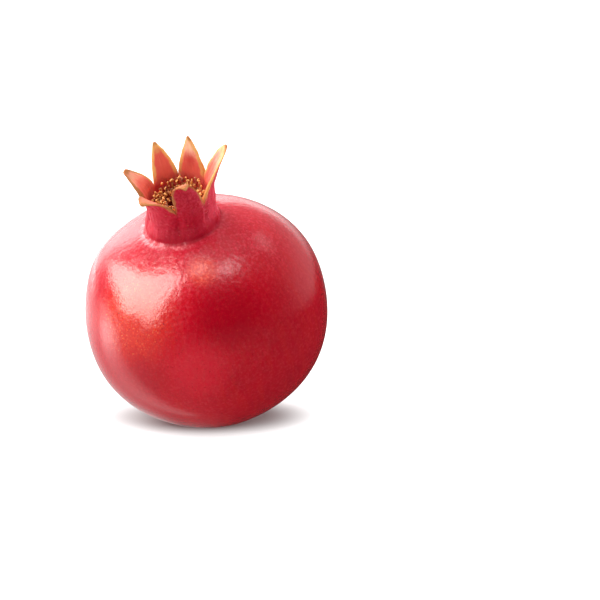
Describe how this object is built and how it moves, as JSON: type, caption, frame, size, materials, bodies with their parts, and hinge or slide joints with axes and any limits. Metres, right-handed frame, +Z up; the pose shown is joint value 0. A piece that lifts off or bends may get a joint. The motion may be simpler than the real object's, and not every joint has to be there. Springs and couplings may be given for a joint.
{
  "type": "pomegranate",
  "caption": "Whole round red pomegranate with an open pointed calyx crown, dried stamens inside it and a short cut stem, resting on a flat spot.",
  "frame": {"origin": "middle of the flat spot that the fruit rests on", "axes": "+Z up out of the resting surface, which is the longest extent; the crown leans 23 degrees from it towards -Y and a little -X"},
  "size_m": [0.0872, 0.0881, 0.1074],
  "materials": {
    "rind": "smooth waxy leathery skin, crimson with orange and pink patches and fine pale speckles, orange-yellow sepal edges",
    "dried_stamens": "dry, matt, golden brown threads with darker anthers",
    "stem_wood": "dry grey-brown bark with a pale cut end"
  },
  "bodies": {
    "root": {"fruit": "rind", "stamens": "dried_stamens", "stem_stub": "stem_wood"}
  },
  "joints": []
}
